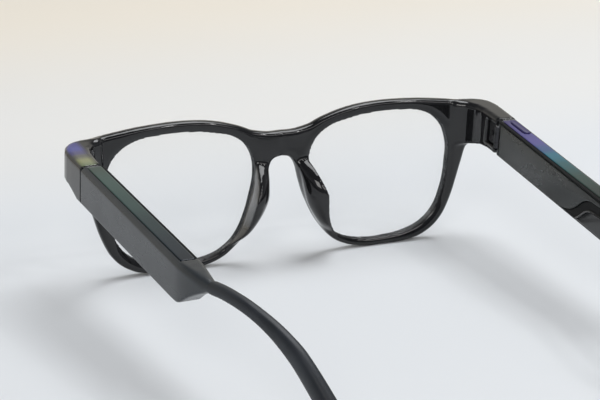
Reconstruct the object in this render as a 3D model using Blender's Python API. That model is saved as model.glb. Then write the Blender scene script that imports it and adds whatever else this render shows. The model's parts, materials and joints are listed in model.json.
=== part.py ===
# Smart glasses: a moulded front with two clear lenses, two folding electronics
# temples on screw-pinned hinges, and one push button on top of the right temple.
# Design units are millimetres; every mesh is written in metres, +Z up.
#
# Frames
#   front frame (f):  X to the wearer's left, Y back towards the ears, Z up,
#                     x = 0 on the symmetry plane, y = 0 in the middle of the rim.
#   temple frame:     origin on the hinge axis, u outwards, v along the temple, w up.
import math

import bmesh
import bpy
from mathutils import Matrix, Vector

MM = 0.001

# ---------------------------------------------------------------- dimensions
SLOPE = math.radians(5.56)      # temples drop this much from the front's normal
TOE_IN = math.radians(2.52)     # temples converge this much towards the tips
RIM_HALF = 2.0                  # half the front-to-back depth of the rim
RIM_BOTTOM = -26.4              # z of the flat under the rims, in f
Y_SHIFT = 82.3                  # f-frame y of the middle of the overall length
EDGE = 0.7                      # rim edge chamfer
LENS_GROOVE = 0.9               # how far the lens goes into the rim
LENS_EDGE = 1.6                 # lens thickness at its edge
LENS_GAP = 0.12                 # play between lens and groove

HINGE_X, HINGE_Y, HINGE_Z = 66.8, 20.0, 14.0   # hinge axis, in the sloped frame
KNUCKLE_R, PIN_R, PIN_HOLE_R = 1.3, 0.6, 0.68
SEAM = 0.15                     # half the gap between end piece and temple

U_OUT, U_IN = 6.35, -0.7        # outer and inner faces of the housing
W_TOP, W_BOT = 6.0, -6.05       # top and bottom of the housing
WALL = 1.3
HOUSING_END = 74.0              # v where the housing starts to narrow
SHELL_END = 88.0                # v where the ear tip starts
CAVITY = (3.2, 71.0)            # v range of the hollow
COVER_FROM, COVER_TO = 1.95, 72.6

BUTTON_U, BUTTON_V, BUTTON_L, BUTTON_W = 3.3, 8.6, 11.0, 2.2
BUTTON_PROUD, BUTTON_TRAVEL = 0.4, 0.4

# half of the front's outline, top centre to bridge arch (x, z)
OUTLINE = [
    (0, 15.9), (4.5, 15.9), (9.6, 16.9), (12.2, 18.0), (15, 19.1), (20, 20.6), (25, 21.6),
    (30, 22.1), (36, 22.3), (42, 22.1), (48, 21.7), (54, 21.0), (59, 20.3),
    (64.5, 19.3), (68.4, 18.3), (69.8, 17.0), (70.3, 14.5), (69.8, 11.0), (68.0, 8.0),
    (66.5, 5.5), (65.3, 2.7), (64.5, 0.0), (63.7, -2.6), (62.9, -5.3), (62.1, -8.0), (61.3, -10.6),
    (60.3, -13.3), (59.1, -16.0), (57.8, -18.4), (56.1, -20.6), (54.6, -22.1), (52.8, -23.4), (51.0, -24.4), (49.2, -25.2),
    (47.3, -25.7), (45.5, -26.0), (41.9, -26.3), (38.2, -26.4), (34.6, -26.4), (31.0, -26.4),
    (27.4, -26.0), (24.5, -25.4), (22.4, -24.7), (20.0, -23.6), (17.8, -22.1), (15.6, -19.9), (13.8, -17.6),
    (12.3, -15.5), (11.0, -13.3), (9.9, -11.1), (9.0, -9.0), (8.1, -6.9), (7.3, -4.8),
    (6.7, -2.7), (6.1, -0.6), (5.6, 1.5), (5.1, 3.5), (4.2, 5.4), (2.4, 7.1), (0, 7.6),
]
# one lens opening, anticlockwise from its outer side (x, z)
OPENING = [
    (58.7, 0), (59.0, 4.0), (58.4, 7.6), (57.2, 11.0), (55.0, 13.9), (52.2, 16.0), (48.6, 17.5), (45.2, 18.2),
    (41.6, 18.5), (36.0, 18.6), (31.0, 18.5), (26.2, 18.0), (21.2, 17.0), (18.3, 16.3), (15.7, 15.1), (13.3, 13.5), (11.5, 11.4),
    (10.2, 8.8), (9.5, 5.8), (9.4, 3.0), (9.7, 0), (10.3, -2.7), (11.0, -5.3), (11.7, -8.0), (12.6, -10.6),
    (13.7, -13.3), (15.1, -15.9), (17.0, -18.4), (19.3, -20.3), (22.0, -21.9), (24.9, -22.9), (28.0, -23.5), (31.0, -23.8),
    (34.2, -23.85), (37.4, -23.7), (41.0, -23.4), (44.3, -22.7), (47.8, -21.6), (50.8, -19.9), (53.4, -17.5), (55.5, -14.3), (56.8, -10.8),
    (57.8, -7.2), (58.4, -3.6),
]
# nose pad sections: z, nose edge x, opening edge x, ridge (x, y), inner bulge x
PAD = [
    (6.2, 4.6, 9.3, 8.6, 1.7, 4.8),
    (5.0, 4.9, 9.4, 9.2, 3.8, 4.9),
    (3.0, 5.5, 9.5, 10.0, 6.6, 5.2),
    (0.0, 6.1, 9.8, 11.0, 9.6, 5.7),
    (-4.0, 7.2, 10.7, 12.4, 11.4, 6.3),
    (-8.0, 8.7, 11.9, 13.1, 10.3, 7.5),
    (-12.0, 10.6, 13.3, 13.9, 8.8, 9.6),
    (-15.5, 12.6, 14.9, 15.3, 7.0, 12.0),
    (-18.4, 14.8, 17.2, 17.4, 4.0, 14.7),
    (-20.4, 16.8, 19.0, 19.2, 1.6, 16.9),
]
# ear tip: v, w of its centreline, half height, half width
EAR = [
    (88.15, 4.05, 1.9, 1.75),
    (93.0, 4.75, 1.9, 1.75),
    (98.0, 4.95, 1.9, 1.75),
    (103.0, 4.7, 1.95, 1.8),
    (108.0, 3.85, 2.05, 1.85),
    (113.0, 2.4, 2.35, 1.95),
    (117.5, 0.5, 2.75, 2.05),
    (122.0, -1.95, 3.15, 2.2),
    (126.0, -5.0, 3.35, 2.3),
    (130.0, -8.45, 3.45, 2.4),
    (135.0, -12.9, 3.5, 2.45),
    (140.0, -17.0, 3.65, 2.45),
    (144.6, -20.45, 3.6, 2.3),
    (146.6, -22.1, 2.8, 1.9),
    (147.8, -23.25, 1.6, 1.1),
]
BEND_FROM, BEND_FULL, BEND_SLOPE = 72.0, 110.0, 0.32   # inward curve of the ear tip

# ---------------------------------------------------------------- scene
for old in list(bpy.data.objects):
    bpy.data.objects.remove(old, do_unlink=True)

MATERIALS = {
    "front_black": ((0.012, 0.013, 0.015), 0.12, 0.0),
    "lens_clear": ((0.93, 0.95, 0.96), 0.02, 0.0),
    "shell_grey": ((0.17, 0.18, 0.19), 0.38, 0.0),
    "cover_dark": ((0.055, 0.062, 0.062), 0.42, 0.0),
    "rear_gloss": ((0.018, 0.02, 0.022), 0.15, 0.0),
    "trim_iridescent": ((0.10, 0.16, 0.24), 0.22, 0.35),
    "ear_tip": ((0.035, 0.042, 0.055), 0.55, 0.0),
    "steel": ((0.60, 0.60, 0.61), 0.28, 1.0),
    "gold": ((0.83, 0.62, 0.28), 0.25, 1.0),
    "board": ((0.02, 0.16, 0.09), 0.5, 0.0),
    "battery": ((0.45, 0.46, 0.48), 0.4, 0.6),
    "module_black": ((0.03, 0.03, 0.033), 0.5, 0.0),
    "mesh_dark": ((0.10, 0.10, 0.11), 0.45, 0.7),
}


def material(name):
    found = bpy.data.materials.get(name)
    if found:
        return found
    colour, rough, metal = MATERIALS[name]
    made = bpy.data.materials.new(name)
    made.use_nodes = True
    made.diffuse_color = (*colour, 1.0)
    shader = made.node_tree.nodes["Principled BSDF"]
    shader.inputs["Base Color"].default_value = (*colour, 1.0)
    shader.inputs["Roughness"].default_value = rough
    shader.inputs["Metallic"].default_value = metal
    if name == "lens_clear":
        shader.inputs["Transmission Weight"].default_value = 1.0
        shader.inputs["IOR"].default_value = 1.5
    return made


def empty(name, matrix):
    made = bpy.data.objects.new(name, None)
    made.empty_display_size = 0.01
    made.matrix_world = matrix
    bpy.context.scene.collection.objects.link(made)
    return made


def object_of(name, bm, parent, slot=None, cutter=False):
    """Turns a bmesh in millimetres into a named object in metres."""
    bmesh.ops.scale(bm, vec=(MM, MM, MM), verts=bm.verts)
    bmesh.ops.recalc_face_normals(bm, faces=bm.faces)
    mesh = bpy.data.meshes.new(name)
    bm.to_mesh(mesh)
    bm.free()
    made = bpy.data.objects.new(name, mesh)
    made.parent = parent
    bpy.context.scene.collection.objects.link(made)
    if cutter:
        made.hide_render = True
        made.display_type = "WIRE"
    else:
        mesh.materials.append(material(slot))
        mesh.shade_smooth()
        mesh.set_sharp_from_angle(angle=math.radians(28))
    return made


def loft(rings):
    """A closed solid through rings of equal length, with flat caps."""
    bm = bmesh.new()
    rows = [[bm.verts.new(p) for p in ring] for ring in rings]
    count = len(rows[0])
    for a, b in zip(rows, rows[1:]):
        for i in range(count):
            j = (i + 1) % count
            bm.faces.new((a[i], a[j], b[j], b[i]))
    bm.faces.new(rows[0][::-1])
    bm.faces.new(rows[-1])
    bmesh.ops.triangulate(bm, faces=bm.faces)
    return bm


def block(lo, hi):
    (x0, y0, z0), (x1, y1, z1) = lo, hi
    ring = [(x0, y0), (x1, y0), (x1, y1), (x0, y1)]
    return loft([[(x, y, z) for x, y in ring] for z in (z0, z1)])


def rod(centre, radius, lo, hi, axis="z", sides=20, chamfer=0.0):
    """A round bar along an axis, from lo to hi, its ends chamfered if asked."""
    levels = [(lo, radius - chamfer), (lo + chamfer, radius), (hi - chamfer, radius), (hi, radius - chamfer)]
    if not chamfer:
        levels = [(lo, radius), (hi, radius)]
    rings = []
    for t, r in levels:
        ring = []
        for i in range(sides):
            a = 2 * math.pi * i / sides
            p, q = r * math.cos(a), r * math.sin(a)
            ring.append({
                "z": (centre[0] + p, centre[1] + q, t),
                "x": (t, centre[0] + p, centre[1] + q),
                "y": (centre[0] + p, t, centre[1] + q),
            }[axis])
        rings.append(ring)
    return loft(rings)


def share(target, operation, tool):
    """Adds or cuts with a shape that stays in the scene as a guide."""
    step = target.modifiers.new(tool.name, "BOOLEAN")
    step.operation = operation
    # the front's long unions of closed lofts come out whole only with this solver
    step.solver = "MANIFOLD" if target.name == "front_frame" else "EXACT"
    step.object = tool


def combine(target, operation, name, bm, parent):
    tool = object_of(name, bm, parent, cutter=True)
    share(target, operation, tool)
    return tool


def cut(target, name, bm, parent):
    return combine(target, "DIFFERENCE", name, bm, parent)


def join(target, name, bm, parent):
    return combine(target, "UNION", name, bm, parent)


def offset(points, distance):
    """A closed outline moved by a distance along its outward normals."""
    area = sum(a[0] * b[1] - b[0] * a[1] for a, b in zip(points, points[1:] + points[:1]))
    sign = 1.0 if area > 0 else -1.0
    moved = []
    count = len(points)
    for i, (x, y) in enumerate(points):
        ax, ay = points[i - 1]
        bx, by = points[(i + 1) % count]
        tx, ty = bx - ax, by - ay
        size = math.hypot(tx, ty) or 1.0
        moved.append((x + sign * distance * ty / size, y - sign * distance * tx / size))
    return moved


def spline(points, per_span):
    """Catmull-Rom points through an open run of control tuples."""
    out = []
    padded = [points[0]] + list(points) + [points[-1]]
    for i in range(1, len(padded) - 2):
        p0, p1, p2, p3 = padded[i - 1:i + 3]
        for k in range(per_span):
            t = k / per_span
            out.append(tuple(
                0.5 * (2 * b + (c - a) * t + (2 * a - 5 * b + 4 * c - d) * t * t + (3 * b - a - 3 * c + d) * t ** 3)
                for a, b, c, d in zip(p0, p1, p2, p3)))
    out.append(tuple(points[-1]))
    return out


def mix(a, b, t):
    return a + (b - a) * t


def to_front(x, y, z):
    """From the sloped frame of the temples to the front frame."""
    c, s = math.cos(SLOPE), math.sin(SLOPE)
    return (x, y * c + z * s, -y * s + z * c)


# ---------------------------------------------------------------- roots
FRONT_PLACE = Matrix.Translation(Vector((0, -Y_SHIFT * MM, -RIM_BOTTOM * MM)))
front_root = empty("front_root", FRONT_PLACE)


def pivot_matrix(side):
    where = to_front(side * HINGE_X, HINGE_Y, HINGE_Z)
    return (FRONT_PLACE @ Matrix.Translation(Vector(where) * MM)
            @ Matrix.Rotation(-SLOPE, 4, "X") @ Matrix.Rotation(side * TOE_IN, 4, "Z"))


# ---------------------------------------------------------------- front
def rim_outline():
    right = [(-x, z) for x, z in OUTLINE[::-1] if x > 0]
    return OUTLINE + right


outline = rim_outline()
rings = []
for y, inset in ((-RIM_HALF, -EDGE), (-RIM_HALF + EDGE, 0), (RIM_HALF - EDGE, 0), (RIM_HALF, -EDGE)):
    rings.append([(x, y, z) for x, z in offset(outline, inset)])
front = object_of("front_frame", loft(rings), front_root, "front_black")


# y, underside height of the end piece along its inner edge
INNER_FLOOR = [(1.4, 5.3), (4.4, 6.2), (9.4, 7.5), (14.0, 8.1), (20.0, 8.0)]


def end_piece(side):
    """The corner block that carries the rim back to the hinge seam."""
    plan = [
        (60.0, -1.2), (63.5, -1.95), (67.0, -1.9), (69.3, -1.3), (71.2, 0.0), (72.6, 2.0), (73.4, 4.6), (73.65, 7.4),
        (73.5, 12.0), (HINGE_X + U_OUT, HINGE_Y - SEAM), (HINGE_X + U_IN, HINGE_Y - SEAM), (66.1, 14.0), (66.0, 9.5),
        (65.3, 6.0), (63.6, 3.2), (60.5, 1.4),
    ]
    inner = {10, 11, 12, 13, 14, 15}

    def floor_z(i, y):
        # the underside sweeps down into the back of the rim on the inner side
        if i not in inner:
            return 9.9 - 0.29 * (min(max(y, 9.0), 16.2) - 9.0)
        for (y0, z0), (y1, z1) in zip(INNER_FLOOR, INNER_FLOOR[1:]):
            if y <= y1:
                return mix(z0, z1, max(0.0, (y - y0) / (y1 - y0)))
        return INNER_FLOOR[-1][1]

    def ring(move_out, move_in, z_of):
        moved = []
        small = offset(plan, -1.0)
        for i, ((x, y), (a, b)) in enumerate(zip(plan, small)):
            k = move_in if i in inner else move_out
            if i in (9, 10):          # stay on the seam plane
                px, py = x + (a - x) * k * 0.8, y
            else:
                px, py = x + (a - x) * k, y + (b - y) * k
            moved.append(to_front(side * px, py, z_of(i, y)))
        return moved

    top = 20.0
    rows = [
        ring(0.7, 0.4, lambda i, y: floor_z(i, y)),
        ring(0.0, 0.0, lambda i, y: floor_z(i, y) + 0.6),
        ring(0.0, 0.0, lambda i, y: top - 1.7),
        ring(1.5, 0.4, lambda i, y: top),
    ]
    return loft(rows)


def nose_pad(side):
    """A pad moulded onto the rim: it grows from the bridge and fades out below."""
    rows = []
    for z, nose, edge, rx, ry, bulge in PAD:
        pts = [
            (nose + 0.5, -0.6),
            (mix(nose, bulge, 0.35) + 0.2, 0.16 * ry),
            (bulge + 0.1, 0.36 * ry),
            (bulge, 0.54 * ry),
            (bulge + 0.16 * (rx - bulge), 0.74 * ry),
            (bulge + 0.48 * (rx - bulge), 0.92 * ry),
            (rx - 0.7, ry),
            (rx, 0.93 * ry),
            (mix(edge, rx, 0.55), 0.5 * ry),
            (edge - 0.1, 0.12 * ry),
            (edge - 0.3, -0.6),
        ]
        rows.append([(side * x, y, z) for x, y in pts])
    return loft(rows)


for side, word in ((1, "left"), (-1, "right")):
    join(front, f"end_piece_{word}_shape", end_piece(side), front_root)
    join(front, f"nose_pad_{word}_shape", nose_pad(side), front_root)

for side, word in ((1, "left"), (-1, "right")):
    hole = [(side * x, z) for x, z in OPENING]
    flare = 0.6
    cut(front, f"opening_{word}", loft([
        [(x, -6.0, z) for x, z in offset(hole, flare)],
        [(x, -RIM_HALF - 0.01, z) for x, z in offset(hole, flare)],
        [(x, -RIM_HALF + flare, z) for x, z in hole],
        [(x, RIM_HALF - 0.3, z) for x, z in hole],
        [(x, RIM_HALF + 0.3, z) for x, z in offset(hole, 0.1)],
        [(x, RIM_HALF + 0.6, z) for x, z in offset(hole, -1.2)],
    ]), front_root)
    cut(front, f"lens_groove_{word}", loft([
        [(x, y, z) for x, z in offset(hole, LENS_GROOVE + LENS_GAP)]
        for y in (-LENS_EDGE / 2 - LENS_GAP, LENS_EDGE / 2 + LENS_GAP)
    ]), front_root)

    # the lens: a shallow meniscus, seated in the groove
    edge_line = offset(hole, LENS_GROOVE)
    cx = sum(p[0] for p in edge_line) / len(edge_line)
    cz = sum(p[1] for p in edge_line) / len(edge_line)
    bm = bmesh.new()
    faces_y = []
    for base, bow in ((-LENS_EDGE / 2, -0.8), (LENS_EDGE / 2, -0.7)):
        rows = []
        for share_r in (1.0, 0.93, 0.62, 0.31):
            y = base + bow * (1 - min(1.0, (share_r / 0.93)) ** 2)
            rows.append([bm.verts.new((cx + (x - cx) * share_r, y, cz + (z - cz) * share_r)) for x, z in edge_line])
        tip = bm.verts.new((cx, base + bow, cz))
        faces_y.append((rows, tip))
        count = len(edge_line)
        for a, b in zip(rows, rows[1:]):
            for i in range(count):
                j = (i + 1) % count
                bm.faces.new((a[i], a[j], b[j], b[i]))
        for i in range(count):
            bm.faces.new((rows[-1][i], rows[-1][(i + 1) % count], tip))
    front_row, back_row = faces_y[0][0][0], faces_y[1][0][0]
    for i in range(len(edge_line)):
        j = (i + 1) % len(edge_line)
        bm.faces.new((front_row[i], front_row[j], back_row[j], back_row[i]))
    object_of(f"lens_{word}", bm, front_root, "lens_clear")


# ---------------------------------------------------------------- temples
def bend(v):
    """Inward shift of the ear tip at v."""
    if v <= BEND_FROM:
        return 0.0
    span = BEND_FULL - BEND_FROM
    if v <= BEND_FULL:
        return BEND_SLOPE * (v - BEND_FROM) ** 2 / (2 * span)
    return BEND_SLOPE * (span / 2 + v - BEND_FULL)


MID_U = (U_OUT + U_IN) / 2


def section(lo_u, hi_u, lo_w, hi_w, corners):
    """Twelve points round a box section; corners are its chamfers: bottom out, top out, top in, bottom in."""
    bo, to, ti, bi = corners
    soft = 0.2
    return [
        (hi_u - bo, lo_w), (hi_u - bo * soft * 1.4, lo_w + bo * soft * 1.4), (hi_u, lo_w + bo),
        (hi_u, hi_w - to * 1.1), (hi_u - to * 0.42, hi_w - to * 0.5), (hi_u - to, hi_w),
        (lo_u + ti, hi_w), (lo_u + ti * soft * 1.4, hi_w - ti * soft * 1.4), (lo_u, hi_w - ti),
        (lo_u, lo_w + bi), (lo_u + bi * soft * 1.4, lo_w + bi * soft * 1.4), (lo_u + bi, lo_w),
    ]


CORNERS = (0.8, 1.3, 0.55, 0.7)
NECK_CORNERS = (1.2, 1.2, 1.2, 1.2)


def temple_rows(side):
    rows = []
    first = section(U_IN, U_OUT, W_BOT, W_TOP, CORNERS)
    # the first ring follows the seam plane, which is square to the front
    rows.append([(side * u, SEAM + 0.02 - math.tan(TOE_IN) * u, w) for u, w in first])
    rows.append([(side * u, 12.0, w) for u, w in first])
    rows.append([(side * u, HOUSING_END - 14, w) for u, w in first])
    # v, bottom w, top w, share of the way from housing width to neck width
    shape = [
        (70.0, -6.05, 6.00, 0.00), (73.4, -6.05, 6.02, 0.02), (75.0, -5.6, 6.05, 0.06), (76.2, -4.7, 6.08, 0.12),
        (78.0, -3.3, 6.10, 0.22), (80.5, -1.7, 6.15, 0.40), (83.0, -0.3, 6.10, 0.60), (85.5, 0.9, 6.05, 0.82),
        (SHELL_END, 2.15, 5.95, 1.00),
    ]
    for v, lo, hi, t in shape:
        lo_u = mix(U_IN, MID_U - 1.75, t) - bend(v)
        hi_u = mix(U_OUT, MID_U + 1.75, t) - bend(v)
        corners = [mix(a, b, t) for a, b in zip(CORNERS, NECK_CORNERS)]
        rows.append([(side * u, v, w) for u, w in section(lo_u, hi_u, lo, hi, corners)])
    return rows


def ear_rows(side):
    rows = []
    line = spline([tuple(p) for p in EAR], 2)
    count = len(line)
    for i, (v, w, high, wide) in enumerate(line):
        a, b = line[max(i - 1, 0)], line[min(i + 1, count - 1)]
        tv, tw = b[0] - a[0], b[1] - a[1]
        size = math.hypot(tv, tw)
        if i == 0:
            tv, tw, size = 1.0, 0.0, 1.0     # its first face lies against the shell
        nv, nw = -tw / size, tv / size
        centre_u = MID_U - bend(v)
        ring = []
        for k in range(14):
            angle = 2 * math.pi * k / 14 + math.pi / 14
            ca, sa = math.cos(angle), math.sin(angle)
            power = 0.82
            du = wide * math.copysign(abs(ca) ** power, ca)
            dn = high * math.copysign(abs(sa) ** power, sa)
            ring.append((side * (centre_u + du), v + nv * dn, w + nw * dn))
        rows.append(ring)
    return rows


def core_rows(side, radius, start, stop):
    path = [(60.0, 1.2), (68.0, 1.2), (74.0, 1.5), (80.0, 2.6), (84.0, 3.4), (88.0, 4.05)] + [
        (v, w) for v, w, _, _ in EAR[1:10]]
    line = [p for p in spline(path, 2) if start <= p[0] <= stop]
    rows = []
    for i, (v, w) in enumerate(line):
        a, b = line[max(i - 1, 0)], line[min(i + 1, len(line) - 1)]
        tv, tw = b[0] - a[0], b[1] - a[1]
        size = math.hypot(tv, tw)
        nv, nw = -tw / size, tv / size
        u = MID_U - bend(v)
        rows.append([
            (side * (u + radius * math.cos(2 * math.pi * k / 8 + 0.2)),
             v + nv * radius * math.sin(2 * math.pi * k / 8 + 0.2),
             w + nw * radius * math.sin(2 * math.pi * k / 8 + 0.2)) for k in range(8)])
    return rows


def plate(side, outline_vw, lo_u, hi_u):
    """A flat plate whose outline lies in the side plane (v, w)."""
    return loft([[(side * u, v, w) for v, w in outline_vw] for u in (lo_u, hi_u)])


def box(side, u, v, w):
    lo, hi = sorted((side * u[0], side * u[1]))
    return block((lo, v[0], w[0]), (hi, v[1], w[1]))


def rounded(v0, v1, w0, w1, r, steps=4):
    pts = []
    for cv, cw, start in ((v1 - r, w1 - r, 0), (v0 + r, w1 - r, 90), (v0 + r, w0 + r, 180), (v1 - r, w0 + r, 270)):
        for k in range(steps + 1):
            a = math.radians(start + 90 * k / steps)
            pts.append((cv + r * math.cos(a), cw + r * math.sin(a)))
    return pts


def lying(side, u_mid, outline_vu, levels):
    """A stack of horizontal outlines; outline points are (v, offset from u_mid), levels are (w, growth)."""
    return loft([[(side * (u_mid + du), v, w) for v, du in offset(outline_vu, grow)] for w, grow in levels])


# the parting line between the flat inner cover and the glossy rear cover (v, w)
COVER_SPLIT = [
    (45.4, -5.3), (48.3, -5.0), (51.6, -4.1), (54.5, -2.6), (57.0, -0.8), (59.3, 1.1), (61.8, 2.5), (65.5, 3.4),
    (COVER_TO, 3.75),
]


def build_temple(side, word):
    pivot = empty(f"temple_{word}_pivot", pivot_matrix(side))
    n = f"_{word}"

    shell = object_of("temple_shell" + n, loft(temple_rows(side)), pivot, "shell_grey")
    cut(shell, "cavity" + n, box(side, (0.2, U_OUT - WALL), CAVITY, (-4.75, 4.7)), pivot)
    cut(shell, "cover_recess" + n, plate(side, [
        (COVER_FROM - 0.15, -5.45), (COVER_TO + 0.15, -5.45), (COVER_TO + 0.15, 5.2), (COVER_FROM - 0.15, 5.2)], -4.0, 0.35), pivot)
    cut(shell, "trim_recess" + n, box(side, (0.3, 4.9), (1.15, 73.2), (5.45, 9.0)), pivot)
    barrel_cut = cut(shell, "barrel_clearance" + n, rod((0, 0), 1.55, -3.95, 3.95, sides=24), pivot)
    corner_cut = cut(shell, "corner_relief" + n, rod((0, 0), 1.1, -8.0, 8.0, sides=20), pivot)
    cut(shell, "leaf_pocket" + n, box(side, (-1.5, 1.75), (-1.0, 9.6), (-3.5, 3.5)), pivot)
    cut(shell, "core_hole" + n, loft(core_rows(side, 0.85, 64.0, 92.0)), pivot)
    cut(shell, "mic_port" + n, rod((side * 2.6, 16.0), 0.45, -8.0, -4.0, sides=12), pivot)
    cut(shell, "grille_slot" + n, lying(side, 2.3, rounded(50.0, 62.0, -1.25, 1.25, 1.2), [(-8.0, 0), (-4.0, 0)]), pivot)
    for v in (6.0, 10.0):
        cut(shell, f"contact_hole_{v:.0f}" + n, rod((side * 3.2, v), 1.0, -8.0, -4.0, sides=16), pivot)
    cut(shell, "leaf_screw_hole" + n, rod((7.2, 0.0), 0.62, *sorted((side * 0.0, side * 3.0)), axis="x", sides=12), pivot)

    # covers on the wearer's side
    gap = 0.1
    front_cover = [(COVER_FROM, 5.05), (COVER_FROM, -5.3)] + [(v - gap, w + (gap if i else 0)) for i, (v, w) in enumerate(COVER_SPLIT)] + [(COVER_TO - gap, 5.05)]
    cover = object_of("inner_cover" + n, plate(side, front_cover, U_IN, 0.05), pivot, "cover_dark")
    cut(cover, "cover_barrel_clearance" + n, rod((0, 0), 2.6, -3.95, 3.95, sides=24), pivot)
    rear_cover = [(COVER_SPLIT[0][0] + 2.2, -5.3), (COVER_SPLIT[0][0] + 2.2, -5.17)]
    rear_cover += [(v + (gap if v < COVER_TO else 0), w - gap) for v, w in COVER_SPLIT[1:]] + [(COVER_TO, -5.3)]
    rear = object_of("rear_cover" + n, plate(side, rear_cover, U_IN, 0.05), pivot, "rear_gloss")

    # inlaid strip along the top
    trim = object_of("top_trim" + n, box(side, (0.45, 4.75), (1.3, 73.05), (5.6, W_TOP + 0.02)), pivot, "trim_iridescent")

    # ear tip and its metal core
    ear = object_of("earpiece" + n, loft(ear_rows(side)), pivot, "ear_tip")
    cut(ear, "ear_core_hole" + n, loft(core_rows(side, 0.85, 84.0, 131.0)), pivot)
    object_of("core_wire" + n, loft(core_rows(side, 0.6, 65.0, 127.0)), pivot, "steel")

    # electronics
    object_of("battery" + n, plate(side, rounded(18.5, 48.5, -3.9, 3.9, 1.2, 3), 0.75, 3.65), pivot, "battery")
    board = object_of("circuit_board" + n, box(side, (3.95, 4.55), (15.4, 49.0), (-4.2, 4.2)), pivot, "board")
    object_of("touch_sensor" + n, box(side, (4.72, 4.92), (20.0, 48.0), (-3.6, 3.6)), pivot, "gold")
    object_of("speaker" + n, box(side, (0.7, 4.5), (50.0, 62.0), (-3.9, -0.3)), pivot, "module_black")
    object_of("speaker_grille" + n, lying(side, 2.3, rounded(50.0, 62.0, -1.25, 1.25, 1.2), [(-5.75, -0.15), (-5.05, -0.15)]), pivot, "mesh_dark")
    object_of("microphone" + n, box(side, (1.3, 3.7), (14.2, 17.8), (-4.6, -3.7)), pivot, "module_black")
    for v, place in ((6.0, "front"), (10.0, "rear")):
        object_of(f"charge_contact_{place}" + n, rod((side * 3.2, v), 0.85, W_BOT, -4.3, sides=16), pivot, "gold")

    # hinge: two knuckles on the front, one on the temple, one screw through them
    leaf = object_of("hinge_leaf_front" + n, box(side, (0.0, 1.0), (-6.7, -1.7), (-3.5, 3.5)), pivot, "steel")
    for lo, hi, place in ((1.6, 3.5, "upper"), (-3.5, -1.6, "lower")):
        join(leaf, f"knuckle_{place}" + n, rod((0, 0), KNUCKLE_R, lo, hi, sides=24), pivot)
        join(leaf, f"knuckle_arm_{place}" + n, box(side, (0.06, 0.94), (-2.1, -0.23), (lo + 0.07, hi - 0.13)), pivot)
    pin_hole = cut(leaf, "pin_hole_front" + n, rod((0, 0), PIN_HOLE_R, -6.0, 6.0, sides=24), pivot)
    cut(leaf, "front_screw_hole" + n, rod((-4.3, 0.0), 0.62, -3.0, 3.0, axis="x", sides=12), pivot)

    temple_leaf = object_of("hinge_leaf_temple" + n, box(side, (0.45, 1.35), (2.6, 9.3), (-3.2, 3.2)), pivot, "steel")
    join(temple_leaf, "temple_knuckle" + n, rod((0, 0), KNUCKLE_R, -1.45, 1.45, sides=24), pivot)
    join(temple_leaf, "temple_knuckle_arm" + n, box(side, (0.52, 1.24), (0.11, 2.9), (-1.38, 1.38)), pivot)
    share(temple_leaf, "DIFFERENCE", pin_hole)
    cut(temple_leaf, "temple_screw_hole" + n, rod((7.2, 0.0), 0.62, -3.0, 3.0, axis="x", sides=12), pivot)

    pin = object_of("hinge_pin" + n, rod((0, 0), PIN_R, -3.6, 3.6, sides=20), pivot, "steel")
    join(pin, "hinge_pin_head" + n, rod((0, 0), 1.05, 3.58, 3.85, sides=20, chamfer=0.08), pivot)
    cut(pin, "hinge_pin_slot" + n, block((-0.14, -2, 3.72), (0.14, 2, 4.5)), pivot)

    def screw(name, v, base, tip):
        lo, hi = sorted((side * base, side * tip))
        made = object_of(name, rod((v, 0.0), 0.45, lo, hi, axis="x", sides=12), pivot, "steel")
        head = sorted((side * (base - 0.22), side * (base + 0.02)))
        join(made, name + "_head", rod((v, 0.0), 0.85, *head, axis="x", sides=16), pivot)
        notch = sorted((side * (base - 0.6), side * (base - 0.1)))
        cut(made, name + "_slot", block((notch[0], v - 0.12, -2), (notch[1], v + 0.12, 2)), pivot)

    screw("leaf_screw_temple" + n, 7.2, 0.38, 2.7)
    screw("leaf_screw_front" + n, -4.3, -0.07, 2.5)

    # room for the hinge in the front's end piece
    cut(front, "leaf_recess" + n, box(side, (-2.5, 1.25), (-7.0, 1.5), (-3.8, 3.8)), pivot)
    share(front, "DIFFERENCE", barrel_cut)
    share(front, "DIFFERENCE", corner_cut)
    cut(front, "front_screw_pilot" + n, rod((-4.3, 0.0), 0.62, *sorted((side * 0.5, side * 2.8)), axis="x", sides=12), pivot)
    return pivot, shell, trim


left = build_temple(1, "left")
right = build_temple(-1, "right")

# ---------------------------------------------------------------- button on the right temple
pivot, shell, trim = right
button_plan = [(v, u) for v, u in rounded(
    BUTTON_V - BUTTON_L / 2, BUTTON_V + BUTTON_L / 2, -BUTTON_W / 2, BUTTON_W / 2, BUTTON_W / 2 - 0.02, 6)]
slot = cut(shell, "button_slot", lying(-1, BUTTON_U, button_plan, [(3.5, 0.15), (9.0, 0.15)]), pivot)
share(trim, "DIFFERENCE", slot)
button = object_of("control_button", lying(-1, BUTTON_U, button_plan, [
    (4.2, 0), (W_TOP + BUTTON_PROUD - 0.25, 0), (W_TOP + BUTTON_PROUD, -0.22)]), pivot, "front_black")
join(button, "button_flange", lying(-1, BUTTON_U, rounded(
    CAVITY[0] + 0.2, BUTTON_V + 6.0, -1.3, 1.3, 0.5, 3), [(4.0, 0), (4.5, 0)]), pivot)
switch = object_of("tact_switch", box(-1, (2.3, 4.4), (6.4, 9.6), (1.4, 3.0)), pivot, "module_black")
join(switch, "switch_plunger", rod((-BUTTON_U, BUTTON_V), 0.7, 2.9, 3.5, sides=16), pivot)
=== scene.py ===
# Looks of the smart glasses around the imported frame. Shapes are worked out in millimetres and
# written in metres, in the row frame. Solid shapes are distance fields turned into meshes.
import json
import math

import bmesh
import bpy
import numpy as np
from mathutils import Matrix, Vector


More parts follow.
